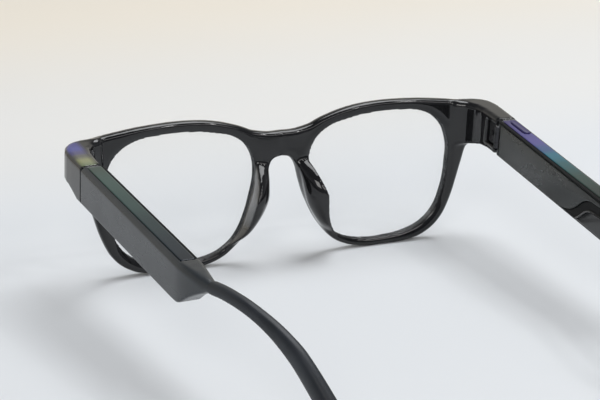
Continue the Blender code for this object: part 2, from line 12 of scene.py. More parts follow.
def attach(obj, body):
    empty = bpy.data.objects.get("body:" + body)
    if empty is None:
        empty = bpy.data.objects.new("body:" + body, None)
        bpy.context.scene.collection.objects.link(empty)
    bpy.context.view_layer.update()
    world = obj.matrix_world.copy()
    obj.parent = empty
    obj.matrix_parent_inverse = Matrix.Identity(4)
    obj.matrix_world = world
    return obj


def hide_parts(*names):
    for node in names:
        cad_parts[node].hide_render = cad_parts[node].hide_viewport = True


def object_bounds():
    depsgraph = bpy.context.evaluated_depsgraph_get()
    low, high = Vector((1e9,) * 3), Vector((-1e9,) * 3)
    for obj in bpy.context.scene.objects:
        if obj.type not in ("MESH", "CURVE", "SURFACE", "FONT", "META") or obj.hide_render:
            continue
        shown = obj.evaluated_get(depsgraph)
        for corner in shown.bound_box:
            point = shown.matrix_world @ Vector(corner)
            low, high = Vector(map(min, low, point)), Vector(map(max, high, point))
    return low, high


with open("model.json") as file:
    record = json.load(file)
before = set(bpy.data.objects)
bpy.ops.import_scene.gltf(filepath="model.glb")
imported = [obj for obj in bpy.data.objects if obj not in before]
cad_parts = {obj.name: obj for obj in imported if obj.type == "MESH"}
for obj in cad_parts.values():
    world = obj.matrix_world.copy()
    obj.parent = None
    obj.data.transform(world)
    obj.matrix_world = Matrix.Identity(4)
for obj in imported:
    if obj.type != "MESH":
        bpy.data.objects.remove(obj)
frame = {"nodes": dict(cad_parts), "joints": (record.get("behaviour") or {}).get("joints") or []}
CAD_BOX = [list(map(float, corner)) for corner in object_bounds()]
JOINTS = {j["name"]: j for j in frame["joints"]}

# ------------------------------------------------------------------ design constants
SLOPE, TOE_IN = math.radians(5.56), math.radians(2.52)
Y_SHIFT, Z_SHIFT = 82.3, 26.4
HINGE = (66.8, 20.0, 14.0)
U_OUT, U_IN, W_TOP, W_BOT = 6.35, -0.7, 6.0, -6.05
MID_U = (U_OUT + U_IN) / 2
BEND_FROM, BEND_FULL, BEND_SLOPE = 72.0, 110.0, 0.32
BUTTON_U, BUTTON_V, BUTTON_L, BUTTON_W = 3.3, 8.6, 11.0, 2.2
COVER_FROM, COVER_TO = 1.95, 72.6

OUTLINE = [
    (0, 15.9), (4.5, 15.9), (9.6, 16.9), (12.2, 18.0), (15, 19.1), (20, 20.6), (25, 21.6),
    (30, 22.1), (36, 22.3), (42, 22.1), (48, 21.7), (54, 21.0), (59, 20.3),
    (64.5, 19.3), (68.4, 18.3), (69.8, 17.0), (70.3, 14.5), (69.8, 11.0), (68.0, 8.0),
    (66.5, 5.5), (65.3, 2.7), (64.5, 0.0), (63.7, -2.6), (62.9, -5.3), (62.1, -8.0), (61.3, -10.6),
    (60.3, -13.3), (59.1, -16.0), (57.8, -18.4), (56.1, -20.6), (54.6, -22.1), (52.8, -23.4), (51.0, -24.4), (49.2, -25.2),
    (47.3, -25.7), (45.5, -26.0), (41.9, -26.3), (38.2, -26.4), (34.6, -26.4), (31.0, -26.4),
    (27.4, -26.0), (24.5, -25.4), (22.4, -24.7), (20.0, -23.6), (17.8, -22.1), (15.6, -19.9), (13.8, -17.6),
    (12.3, -15.5), (11.0, -13.3), (9.9, -11.1), (9.0, -9.0), (8.1, -6.9), (7.3, -4.8),
    (6.7, -2.7), (6.1, -0.6), (5.6, 1.5), (5.1, 3.5), (4.2, 5.4), (2.4, 7.1), (0, 7.6),
]
OPENING = [
    (58.7, 0), (59.0, 4.0), (58.4, 7.6), (57.2, 11.0), (55.0, 13.9), (52.2, 16.0), (48.6, 17.5), (45.2, 18.2),
    (41.6, 18.5), (36.0, 18.6), (31.0, 18.5), (26.2, 18.0), (21.2, 17.0), (18.3, 16.3), (15.7, 15.1), (13.3, 13.5), (11.5, 11.4),
    (10.2, 8.8), (9.5, 5.8), (9.4, 3.0), (9.7, 0), (10.3, -2.7), (11.0, -5.3), (11.7, -8.0), (12.6, -10.6),
    (13.7, -13.3), (15.1, -15.9), (17.0, -18.4), (19.3, -20.3), (22.0, -21.9), (24.9, -22.9), (28.0, -23.5), (31.0, -23.8),
    (34.2, -23.85), (37.4, -23.7), (41.0, -23.4), (44.3, -22.7), (47.8, -21.6), (50.8, -19.9), (53.4, -17.5), (55.5, -14.3), (56.8, -10.8),
    (57.8, -7.2), (58.4, -3.6),
]
# z, nose edge x, opening edge x, ridge (x, y), inner bulge x
PAD = [
    (6.2, 4.6, 9.3, 8.6, 1.7, 4.8),
    (5.0, 4.9, 9.4, 9.2, 3.8, 4.9),
    (3.0, 5.5, 9.5, 10.0, 6.6, 5.2),
    (0.0, 6.1, 9.8, 11.0, 9.6, 5.7),
    (-4.0, 7.2, 10.7, 12.4, 11.4, 6.3),
    (-8.0, 8.7, 11.9, 13.1, 10.3, 7.5),
    (-12.0, 10.6, 13.3, 13.9, 8.8, 9.6),
    (-15.5, 12.6, 14.9, 15.3, 7.0, 12.0),
    (-18.4, 14.8, 17.2, 17.4, 4.0, 14.7),
    (-20.4, 16.8, 19.0, 19.2, 1.6, 16.9),
]
EAR = [
    (88.15, 4.05, 1.9, 1.75), (93.0, 4.75, 1.9, 1.75), (98.0, 4.95, 1.9, 1.75), (103.0, 4.7, 1.95, 1.8),
    (108.0, 3.85, 2.05, 1.85), (113.0, 2.4, 2.35, 1.95), (117.5, 0.5, 2.75, 2.05), (122.0, -1.95, 3.15, 2.2),
    (126.0, -5.0, 3.35, 2.3), (130.0, -8.45, 3.45, 2.4), (135.0, -12.9, 3.5, 2.45), (140.0, -17.0, 3.65, 2.45),
    (144.6, -20.45, 3.6, 2.3), (146.6, -22.1, 2.8, 1.9), (147.8, -23.25, 1.6, 1.1),
]
COVER_SPLIT = [
    (45.4, -5.3), (48.3, -5.0), (51.6, -4.1), (54.5, -2.6), (57.0, -0.8), (59.3, 1.1), (61.8, 2.5), (65.5, 3.4),
    (COVER_TO, 3.75),
]


# ------------------------------------------------------------------ places
def front_to_row(p):
    q = np.array(p, float).reshape(-1, 3)
    return (q + np.array([0, -Y_SHIFT, Z_SHIFT])) / 1000


def temple_to_row(side, p):
    """From temple coordinates (u out, v along, w up) to the row frame."""
    q = np.array(p, float).reshape(-1, 3)
    x, y, z = side * q[:, 0], q[:, 1], q[:, 2]
    c, s = math.cos(side * TOE_IN), math.sin(side * TOE_IN)
    x, y = x * c - y * s, x * s + y * c
    x, y, z = x + side * HINGE[0], y + HINGE[1], z + HINGE[2]
    c, s = math.cos(SLOPE), math.sin(SLOPE)
    return front_to_row(np.stack([x, y * c + z * s, -y * s + z * c], 1))


def row_to_temple(side, p):
    q = np.array(p, float).reshape(-1, 3) * 1000 - np.array([0, -Y_SHIFT, Z_SHIFT])
    c, s = math.cos(SLOPE), math.sin(SLOPE)
    x, y, z = q[:, 0], q[:, 1] * c - q[:, 2] * s, q[:, 1] * s + q[:, 2] * c
    x, y, z = x - side * HINGE[0], y - HINGE[1], z - HINGE[2]
    c, s = math.cos(side * TOE_IN), math.sin(side * TOE_IN)
    return np.stack([side * (x * c + y * s), -x * s + y * c, z], 1)


def spline(points, per_span, closed=False):
    pts = [tuple(map(float, p)) for p in points]
    count = len(pts)
    out = []
    for i in range(count if closed else count - 1):
        if closed:
            p0, p1, p2, p3 = pts[i - 1], pts[i], pts[(i + 1) % count], pts[(i + 2) % count]
        else:
            p0, p1, p2, p3 = pts[max(i - 1, 0)], pts[i], pts[i + 1], pts[min(i + 2, count - 1)]
        for k in range(per_span):
            t = k / per_span
            out.append(tuple(
                0.5 * (2 * b + (c - a) * t + (2 * a - 5 * b + 4 * c - d) * t * t + (3 * b - a - 3 * c + d) * t ** 3)
                for a, b, c, d in zip(p0, p1, p2, p3)))
    if not closed:
        out.append(pts[-1])
    return out


def bend(v):
    v = np.asarray(v, float)
    span = BEND_FULL - BEND_FROM
    rising = BEND_SLOPE * np.clip(v - BEND_FROM, 0, span) ** 2 / (2 * span)
    return rising + BEND_SLOPE * np.clip(v - BEND_FULL, 0, None)


# ------------------------------------------------------------------ distance fields
def smin(a, b, k):
    h = np.clip(0.5 + 0.5 * (b - a) / k, 0, 1)
    return b + (a - b) * h - k * h * (1 - h)


def smax(a, b, k):
    return -smin(-a, -b, k)


def polygon(px, pz, poly):
    """Signed distance to a closed polygon, negative inside."""
    px, pz = np.asarray(px, np.float32), np.asarray(pz, np.float32)
    best = np.full(px.shape, 1e9, np.float32)
    inside = np.zeros(px.shape, bool)
    pts = np.asarray(poly, np.float32)
    for (ax, az), (bx, bz) in zip(pts, np.roll(pts, -1, 0)):
        ex, ez = bx - ax, bz - az
        size = ex * ex + ez * ez
        if size < 1e-12:
            continue
        wx, wz = px - ax, pz - az
        t = np.clip((wx * ex + wz * ez) / size, 0, 1)
        np.minimum(best, (wx - ex * t) ** 2 + (wz - ez * t) ** 2, out=best)
        if az != bz:
            inside ^= ((az > pz) != (bz > pz)) & (px < ex * (pz - az) / ez + ax)
    return np.where(inside, -1, 1) * np.sqrt(best)


def block(x, y, z, lo, hi):
    parts = [np.maximum(a - q, q - b) for q, a, b in zip((x, y, z), lo, hi)]
    return np.maximum(np.maximum(parts[0], parts[1]), parts[2])


def surface(field, lo, step):
    """Surface nets: vertices and quads of the zero level of a grid of distances."""
    f = np.asarray(field, np.float32)
    s = f < 0
    nx, ny, nz = f.shape
    total = np.zeros((nx - 1, ny - 1, nz - 1), np.int8)
    for i in (0, 1):
        for j in (0, 1):
            for k in (0, 1):
                total += s[i:nx - 1 + i, j:ny - 1 + j, k:nz - 1 + k]
    active = (total > 0) & (total < 8)
    index = np.full(active.shape, -1, np.int64)
    index[active] = np.arange(int(active.sum()))
    at = np.argwhere(active)
    i0, j0, k0 = at.T
    pos = np.zeros((len(at), 3))
    hits = np.zeros(len(at))
    corners = [(i, j, k) for i in (0, 1) for j in (0, 1) for k in (0, 1)]
    for a in corners:
        for axis in range(3):
            if a[axis]:
                continue
            b = list(a)
            b[axis] = 1
            fa = f[i0 + a[0], j0 + a[1], k0 + a[2]]
            fb = f[i0 + b[0], j0 + b[1], k0 + b[2]]
            m = (fa < 0) != (fb < 0)
            t = np.zeros(len(at))
            t[m] = fa[m] / (fa[m] - fb[m])
            p = np.array(a, float) + t[:, None] * (np.array(b, float) - np.array(a, float))
            pos[m] += p[m]
            hits[m] += 1
    pos = (at + pos / hits[:, None]) * np.asarray(step) + np.asarray(lo)
    quads = []
    for axis in range(3):
        b, c = (axis + 1) % 3, (axis + 2) % 3
        lead = [slice(None)] * 3
        lead[axis] = slice(0, f.shape[axis] - 1)
        tail = [slice(None)] * 3
        tail[axis] = slice(1, f.shape[axis])
        for q in (lead, tail):
            q[b], q[c] = slice(1, f.shape[b] - 1), slice(1, f.shape[c] - 1)
        sa, sb = s[tuple(lead)], s[tuple(tail)]
        for flip, mask in ((False, sa & ~sb), (True, ~sa & sb)):
            where = np.argwhere(mask)
            if not len(where):
                continue
            where[:, b] += 1
            where[:, c] += 1
            eb, ec = np.eye(3, dtype=int)[b], np.eye(3, dtype=int)[c]
            ids = [index[tuple((where - d).T)] for d in (0 * eb, eb, eb + ec, ec)]
            quad = np.stack(ids, 1)
            quads.append(quad[:, ::-1] if flip else quad)
    return pos, np.concatenate(quads)


def relax(pos, quads, rounds, share=0.5):
    """Evens out a mesh: shrinks and swells in turn, so its size stays."""
    a = np.concatenate([quads[:, k] for k in range(4)])
    b = np.concatenate([quads[:, (k + 1) % 4] for k in range(4)])
    a, b = np.concatenate([a, b]), np.concatenate([b, a])
    count = np.bincount(a, minlength=len(pos))[:, None]
    for turn in range(rounds):
        mean = np.stack([np.bincount(a, weights=pos[b, k], minlength=len(pos)) for k in range(3)], 1) / count
        pos = pos + (mean - pos) * (share if turn % 2 == 0 else -share * 1.02)
    return pos


def mesh_object(name, verts, faces, mat, body, replaces=(), smooth=35.0):
    mesh = bpy.data.meshes.new(name)
    mesh.from_pydata(np.asarray(verts, float).tolist(), [], np.asarray(faces).tolist() if isinstance(faces, np.ndarray) else faces)
    mesh.update()
    bm = bmesh.new()
    bm.from_mesh(mesh)
    bmesh.ops.remove_doubles(bm, verts=bm.verts, dist=1e-6)
    bmesh.ops.recalc_face_normals(bm, faces=bm.faces)
    bm.to_mesh(mesh)
    bm.free()
    mesh.shade_smooth()
    if smooth is not None:
        mesh.set_sharp_from_angle(angle=math.radians(smooth))
    made = bpy.data.objects.new(name, mesh)
    bpy.context.scene.collection.objects.link(made)
    mesh.materials.append(mat)
    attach(made, body)
    if replaces:
        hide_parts(*replaces)
    return made


def loft(rings, caps=True):
    count = len(rings[0])
    verts = [p for ring in rings for p in ring]
    faces = []
    for r in range(len(rings) - 1):
        for i in range(count):
            j = (i + 1) % count
            faces.append([r * count + i, r * count + j, (r + 1) * count + j, (r + 1) * count + i])
    if caps:
        faces.append(list(range(count))[::-1])
        faces.append([(len(rings) - 1) * count + i for i in range(count)])
    return np.array(verts, float), faces


def offset(points, distance):
    pts = np.asarray(points, float)
    area = np.sum(pts[:, 0] * np.roll(pts[:, 1], -1) - np.roll(pts[:, 0], -1) * pts[:, 1])
    t = np.roll(pts, -1, 0) - np.roll(pts, 1, 0)
    t /= np.maximum(np.linalg.norm(t, axis=1, keepdims=True), 1e-9)
    n = np.stack([t[:, 1], -t[:, 0]], 1) * (1 if area > 0 else -1)
    return pts + n * distance


# ------------------------------------------------------------------ materials
class Nodes:
    """A short way to write node trees."""

    def __init__(self, name):
        self.mat = bpy.data.materials.new(name)
        self.mat.use_nodes = True
        self.tree = self.mat.node_tree
        self.shader = self.tree.nodes["Principled BSDF"]
        self.coord = None

    def node(self, kind, **values):
        made = self.tree.nodes.new(kind)
        for key, value in values.items():
            setattr(made, key, value)
        return made

    def link(self, a, b):
        self.tree.links.new(a, b)

    def put(self, key, value):
        self.shader.inputs[key].default_value = value

    def place(self):
        if self.coord is None:
            self.coord = self.node("ShaderNodeTexCoord").outputs["Object"]
        return self.coord

    def noise(self, scale, detail=3.0, rough=0.55, stretch=None):
        made = self.node("ShaderNodeTexNoise")
        made.inputs["Scale"].default_value = scale
        made.inputs["Detail"].default_value = detail
        made.inputs["Roughness"].default_value = rough
        source = self.place()
        if stretch:
            mapping = self.node("ShaderNodeMapping")
            mapping.inputs["Scale"].default_value = stretch
            self.link(source, mapping.inputs["Vector"])
            source = mapping.outputs["Vector"]
        self.link(source, made.inputs["Vector"])
        return made.outputs["Fac"]

    def voronoi(self, scale, feature="F1"):
        made = self.node("ShaderNodeTexVoronoi", feature=feature)
        made.inputs["Scale"].default_value = scale
        self.link(self.place(), made.inputs["Vector"])
        return made.outputs["Distance"]

    def span(self, source, lo, hi, to_lo, to_hi):
        made = self.node("ShaderNodeMapRange")
        for key, value in (("From Min", lo), ("From Max", hi), ("To Min", to_lo), ("To Max", to_hi)):
            made.inputs[key].default_value = value
        made.clamp = True
        self.link(source, made.inputs["Value"])
        return made.outputs["Result"]

    def ramp(self, source, stops):
        made = self.node("ShaderNodeValToRGB")
        bar = made.color_ramp
        bar.interpolation = "EASE"
        while len(bar.elements) < len(stops):
            bar.elements.new(0.5)
        for element, (at, colour) in zip(bar.elements, stops):
            element.position = at
            element.color = (*colour, 1)
        self.link(source, made.inputs["Fac"])
        return made.outputs["Color"]

    def blend(self, factor, a, b):
        made = self.node("ShaderNodeMix", data_type="RGBA")
        if isinstance(factor, float):
            made.inputs["Factor"].default_value = factor
        else:
            self.link(factor, made.inputs["Factor"])
        for key, value in (("A", a), ("B", b)):
            socket = [i for i in made.inputs if i.name == key and i.type == "RGBA"][0]
            if isinstance(value, tuple):
                socket.default_value = (*value, 1)
            else:
                self.link(value, socket)
        return [o for o in made.outputs if o.type == "RGBA"][0]

    def calc(self, kind, a, b=None):
        made = self.node("ShaderNodeMath", operation=kind)
        for i, value in enumerate((a, b)):
            if value is None:
                continue
            if isinstance(value, (int, float)):
                made.inputs[i].default_value = value
            else:
                self.link(value, made.inputs[i])
        return made.outputs[0]

    def axes(self):
        made = self.node("ShaderNodeSeparateXYZ")
        self.link(self.place(), made.inputs[0])
        return made.outputs

    def bump(self, height, strength, distance):
        made = self.node("ShaderNodeBump")
        made.inputs["Strength"].default_value = strength
        made.inputs["Distance"].default_value = distance
        self.link(height, made.inputs["Height"])
        self.link(made.outputs["Normal"], self.shader.inputs["Normal"])

    def colour(self, source):
        self.link(source, self.shader.inputs["Base Color"])

    def rough(self, source):
        self.link(source, self.shader.inputs["Roughness"])


def plastic(name, dark, light, rough, grain, strength, spec=0.5, blotch=60.0):
    n = Nodes(name)
    n.colour(n.blend(n.span(n.noise(blotch, 4), 0.35, 0.65, 0, 1), dark, light))
    wipe = n.noise(140.0, 3, 0.6, (1.0, 0.35, 1.0))
    n.rough(n.span(wipe, 0.3, 0.7, rough[0], rough[1]))
    n.bump(n.noise(grain, 2), strength, 0.00005)
    n.put("Specular IOR Level", spec)
    n.put("IOR", 1.5)
    return n


def paint_shade(n):
    """Painted shade: the base colour goes near black, and the surface matt, where the mesh's shade mark is set."""
    mark = n.node("ShaderNodeAttribute", attribute_name="shade").outputs["Fac"]
    n.colour(n.blend(mark, n.shader.inputs["Base Color"].links[0].from_socket, (0.003, 0.0032, 0.0036)))
    old = n.shader.inputs["Roughness"].links[0].from_socket
    gap = n.calc("SUBTRACT", 0.9, old)
    n.rough(n.calc("ADD", old, n.calc("MULTIPLY", gap, mark)))
    return n.mat


# the mark says, vertex by vertex, where painted shade goes
def mark_painted_shade(obj, values):
    layer = obj.data.attributes.new("shade", "FLOAT", "POINT")
    layer.data.foreach_set("value", np.asarray(values, np.float32))


def points_of(obj):
    flat = np.zeros(len(obj.data.vertices) * 3)
    obj.data.vertices.foreach_get("co", flat)
    return flat.reshape(-1, 3)


def front_material():
    """Polished black, with a thin film of colour on the top of the left end piece."""
    n = plastic("gloss_black", (0.0065, 0.0068, 0.0075), (0.012, 0.012, 0.013), (0.045, 0.085), 1500.0, 0.03)
    base = n.shader.inputs["Base Color"].links[0].from_socket
    x, y, z = n.axes()
    film = n.ramp(n.span(y, -0.0815, -0.0605, 0, 1), [
        (0.0, (0.012, 0.010, 0.030)), (0.16, (0.045, 0.045, 0.20)), (0.34, (0.06, 0.065, 0.26)),
        (0.50, (0.07, 0.065, 0.16)), (0.62, (0.10, 0.10, 0.09)), (0.80, (0.23, 0.24, 0.12)), (1.0, (0.16, 0.19, 0.11))])
    geometry = n.node("ShaderNodeNewGeometry")
    up = n.node("ShaderNodeSeparateXYZ")
    n.link(geometry.outputs["Normal"], up.inputs[0])
    mask = n.calc("MULTIPLY", n.span(up.outputs[2], 0.62, 0.9, 0, 1), n.span(x, 0.0672, 0.0692, 0, 1))
    mask = n.calc("MULTIPLY", mask, n.span(z, 0.0425, 0.0440, 0, 1))
    n.colour(n.blend(mask, base, film))
    return n.mat


def trim_material(name, side):
    """An interference lacquer whose hue runs along the temple."""
    n = Nodes(name)
    x, y, z = n.axes()
    along = n.span(y, -0.0608, 0.0125, 0, 1)
    drift = n.calc("ADD", along, n.calc("MULTIPLY", n.calc("SUBTRACT", n.noise(160.0, 2), 0.5), 0.05))
    if side < 0:
        stops = [(0.0, (0.040, 0.032, 0.105)), (0.12, (0.062, 0.054, 0.185)), (0.30, (0.080, 0.072, 0.245)),
                 (0.38, (0.045, 0.085, 0.20)), (0.46, (0.022, 0.135, 0.19)), (0.56, (0.022, 0.092, 0.105)),
                 (0.70, (0.022, 0.052, 0.046)), (0.88, (0.014, 0.026, 0.024)), (1.0, (0.010, 0.016, 0.016))]
    else:
        stops = [(0.0, (0.042, 0.062, 0.050)), (0.18, (0.040, 0.075, 0.066)), (0.42, (0.028, 0.058, 0.054)),
                 (0.65, (0.016, 0.032, 0.036)), (0.85, (0.011, 0.020, 0.028)), (1.0, (0.010, 0.015, 0.022))]
    n.colour(n.ramp(drift, stops))
    n.rough(n.span(n.noise(220.0, 3), 0.3, 0.7, 0.13, 0.24))
    n.bump(n.noise(5200.0, 2), 0.05, 0.00003)
    n.put("Specular IOR Level", 0.17)
    n.put("Coat Weight", 0.08)
    n.put("Coat Roughness", 0.08)
    return n.mat


def metal(name, colour, rough, stretch=(1.0, 1.0, 14.0)):
    n = Nodes(name)
    n.put("Metallic", 1.0)
    dark = tuple(c * 0.82 for c in colour)
    lines = n.noise(900.0, 4, 0.6, stretch)
    n.colour(n.blend(n.span(lines, 0.3, 0.7, 0, 1), dark, colour))
    n.rough(n.span(lines, 0.3, 0.7, rough * 0.8, rough * 1.25))
    n.bump(lines, 0.12, 0.00003)
    return n.mat


def lens_material():
    """Clear with a faint anti-reflection tint; only the roughness varies."""
    n = Nodes("lens_clear")
    n.put("Base Color", (0.80, 0.84, 0.86, 1))
    n.put("Alpha", 0.055)
    n.put("Specular IOR Level", 0.9)
    smear = n.noise(45.0, 4, 0.6, (1, 1, 1.6))
    n.rough(n.span(smear, 0.35, 0.7, 0.015, 0.06))
    return n.mat


def board_material():
    n = Nodes("solder_mask")
    brick = n.node("ShaderNodeTexBrick")
    brick.inputs["Scale"].default_value = 420.0
    brick.inputs["Color1"].default_value = (0.010, 0.105, 0.050, 1)
    brick.inputs["Color2"].default_value = (0.014, 0.135, 0.066, 1)
    brick.inputs["Mortar"].default_value = (0.16, 0.30, 0.12, 1)
    brick.inputs["Mortar Size"].default_value = 0.012
    n.link(n.place(), brick.inputs["Vector"])
    n.colour(brick.outputs["Color"])
    n.rough(n.span(n.noise(300.0), 0.3, 0.7, 0.35, 0.5))
    return n.mat


GLOSS = front_material()
# the satin shell and the rear gloss cover carry painted shade along marked bands
SATIN = paint_shade(plastic("satin_shell", (0.0200, 0.0245, 0.0290), (0.0270, 0.0320, 0.0370), (0.24, 0.31), 7000.0, 0.08, 0.5, 90.0))
COVER = plastic("satin_cover", (0.012, 0.0150, 0.0145), (0.017, 0.0205, 0.0195), (0.25, 0.33), 8000.0, 0.12, 0.40, 110.0).mat
REAR = paint_shade(plastic("gloss_rear", (0.006, 0.0065, 0.007), (0.010, 0.0105, 0.011), (0.05, 0.10), 1600.0, 0.03, 0.42))
EARTIP = plastic("soft_ear_tip", (0.010, 0.013, 0.018), (0.017, 0.021, 0.028), (0.40, 0.52), 9000.0, 0.22, 0.42, 120.0).mat
BUTTON = plastic("button_lacquer", (0.040, 0.034, 0.115), (0.052, 0.045, 0.150), (0.16, 0.22), 4000.0, 0.05, 0.3).mat
BLACKENED = metal("black_oxide_steel", (0.060, 0.060, 0.064), 0.30)
STEEL = metal("machined_steel", (0.56, 0.56, 0.57), 0.26)
GOLD = metal("gold_contact", (0.78, 0.58, 0.27), 0.22)
FOIL = metal("pouch_foil", (0.50, 0.51, 0.53), 0.36, (1.0, 3.0, 1.0))
MODULE = plastic("moulded_module", (0.020, 0.020, 0.022), (0.032, 0.032, 0.034), (0.42, 0.55), 5200.0, 0.2, 0.4).mat
GRILLE = metal("blackened_mesh", (0.085, 0.085, 0.09), 0.38)
BOARD = board_material()
LENS = lens_material()


# ------------------------------------------------------------------ front
def front_field(step):
    """Distances on a half grid, x from 0 outwards."""
    x = np.arange(0, 75.6, step)
    y = np.arange(-3.2, 23.0, step)
    z = np.arange(-28.0, 24.0, step)
    gx, gz = np.meshgrid(x, z, indexing="ij")
    half = spline(OUTLINE, 5)
    full = half + [(-a, b) for a, b in half[::-1]]
    outer = polygon(gx, gz, full)
    hole = polygon(gx, gz, spline(OPENING, 5, closed=True))
    o3, h3 = outer[:, None, :], hole[:, None, :]
    yy = y[None, :, None]
    # the back of the bridge is a very shallow keel
    back = 2.0 + 0.22 * np.clip(1 - np.abs(x) / 8.5, 0, 1)[:, None, None] * np.clip((z - 4) / 6, 0, 1)[None, None, :]
    back = back - 0.25 * np.exp(-(x / 0.6) ** 2)[:, None, None] * np.clip((z - 6.5) / 3, 0, 1)[None, None, :]
    body = smax(smax(o3 + 0 * yy, yy - back, 1.9), -yy - 2.0, 1.7)
    # inner bevels: the rim falls away towards the lens, more at the back than at the front
    body = smax(body, (yy - 1.12 - 0.42 * h3) / 1.085, 0.35)
    body = smax(body, (-yy - 1.45 - 0.42 * h3) / 1.085, 0.35)
    body = body.astype(np.float32)

    # end piece, in the sloped frame of the temples
    c, s = math.cos(SLOPE), math.sin(SLOPE)
    i0 = int(57 / step)
    ex = x[i0:, None, None]
    ty = y[None, :, None] * c - z[None, None, :] * s
    tz = y[None, :, None] * s + z[None, None, :] * c
    plan = [
        (60.0, -1.0), (63.5, -1.75), (67.0, -1.75), (69.2, -1.2), (71.1, 0.1), (72.5, 2.0), (73.35, 4.6), (73.6, 7.4),
        (73.48, 12.0), (HINGE[0] + U_OUT, 19.85), (HINGE[0] + U_OUT, 22.0), (HINGE[0] + U_IN, 22.0), (HINGE[0] + U_IN, 19.85), (66.1, 14.0), (66.0, 9.5),
        (65.3, 6.0), (63.6, 3.2), (60.5, 1.4),
    ]
    fine_x = np.arange(56.0, 77.0, 0.2)
    fine_y = np.arange(-7.0, 26.0, 0.2)
    fx, fy = np.meshgrid(fine_x, fine_y, indexing="ij")
    plan_field = polygon(fx, fy, plan)

    def plan_at(px, py):
        a = np.clip((px - 56.0) / 0.2, 0, len(fine_x) - 1.001)
        b = np.clip((py + 7.0) / 0.2, 0, len(fine_y) - 1.001)
        ia, ib = a.astype(int), b.astype(int)
        ta, tb = a - ia, b - ib
        return ((1 - ta) * (1 - tb) * plan_field[ia, ib] + ta * (1 - tb) * plan_field[ia + 1, ib]
                + (1 - ta) * tb * plan_field[ia, ib + 1] + ta * tb * plan_field[ia + 1, ib + 1])

    bx = np.broadcast_to(ex, (len(x) - i0, len(y), len(z)))
    by = np.broadcast_to(ty, bx.shape)
    bz = np.broadcast_to(tz, bx.shape)
    flat = plan_at(bx, by)
    under = np.clip((bx - 66.2) / 6.5, 0, 1)
    floor = 9.9 - 0.29 * (np.clip(by, 9.0, 16.2) - 9.0)
    floor = np.interp(by, [1.4, 4.4, 9.4, 14.0, 20.0], [5.3, 6.2, 7.5, 8.1, 8.0]) * (1 - under) + floor * under
    end = smax(flat, bz - 20.0, 0.9)
    end = smax(end, (flat + bz - 20.0 + 1.0) / 1.414, 0.5)
    end = smax(end, (floor - bz) * 0.93, 0.8)
    local = body[i0:]
    merged = smin(local, end.astype(np.float32), 1.6)
    # seam plane, hinge recess and barrel clearance
    merged = smax(merged, by - 19.85, 0.3)
    v_rel, u_rel, w_rel = by - HINGE[1], bx - HINGE[0], bz - HINGE[2]
    cb, sb = math.cos(TOE_IN), math.sin(TOE_IN)
    u2, v2 = u_rel * cb + v_rel * sb, -u_rel * sb + v_rel * cb
    recess = block(u2, v2, w_rel, (-2.5, -7.0, -3.8), (1.25, 2.0, 3.8))
    merged = smax(merged, -recess, 0.2)
    tube = np.maximum(np.hypot(u2, v2) - 1.55, np.abs(w_rel) - 3.95)
    merged = smax(merged, -tube, 0.15)
    merged = smax(merged, -(np.hypot(u2, v2) - 1.1), 0.15)
    body[i0:] = merged

    # nose pad: a stack of smooth sections, melted into the rim
    table = np.array(PAD)
    order = np.argsort(table[:, 0])
    table = np.array(spline([tuple(r) for r in table[order]], 8))
    j1 = int((13.8 + 3.2) / step)
    i1 = int(23.0 / step)
    pad = np.full((i1, j1, len(z)), 9.0, np.float32)
    px, py = np.meshgrid(x[:i1], y[:j1], indexing="ij")
    for k, height in enumerate(z):
        if not -21.8 < height < 8.0:
            continue
        nose, edge, rx, ry, bulge = [np.interp(height, table[:, 0], table[:, q]) for q in range(1, 6)]
        pts = [
            (nose + 0.5, -0.6), (nose + 0.35 * (bulge - nose) + 0.2, 0.16 * ry), (bulge + 0.1, 0.36 * ry), (bulge, 0.54 * ry),
            (bulge + 0.16 * (rx - bulge), 0.74 * ry), (bulge + 0.48 * (rx - bulge), 0.92 * ry), (rx - 0.7, ry),
            (rx, 0.93 * ry), (edge + 0.55 * (rx - edge), 0.5 * ry), (edge - 0.1, 0.12 * ry), (edge - 0.3, -0.6)]
        ring = spline(pts, 4, closed=True)
        over = max(height - 6.2, -20.4 - height, 0)
        pad[:, :, k] = polygon(px, py, ring) * 0.8 + 0.15 + over
    near = body[:i1, :j1]
    body[:i1, :j1] = smin(near, pad, 1.5)

    # lens openings go through the rim only; a groove holds the lens
    wall = smax(-h3, yy - 2.3, 0.3)
    pierce = np.where(yy < 3.0, wall, 9.0)
    cut_hole = smax(body, -np.maximum(h3, yy - 2.1), 0.5)
    body = np.where(np.broadcast_to(yy < 4.0, body.shape), cut_hole, body)
    groove = np.maximum(h3 - 1.02, np.abs(yy) - 0.9)
    body = np.maximum(body, -groove)
    return body, x, y, z


def build_front():
    step = 0.42
    half, x, y, z = front_field(step)
    field = np.concatenate([half[:0:-1], half], 0)
    verts, quads = surface(field, (-x[-1], y[0], z[0]), step)
    verts = relax(verts, quads, 6, 0.45)
    # no lower than the solid it stands for, and no further forward
    verts[:, 2] = np.maximum(verts[:, 2], -26.4)
    verts[:, 1] = np.clip(verts[:, 1], -2.0, None)
    mesh_object("front_shell", front_to_row(verts), quads, GLOSS, "front", ["front_frame"], None)


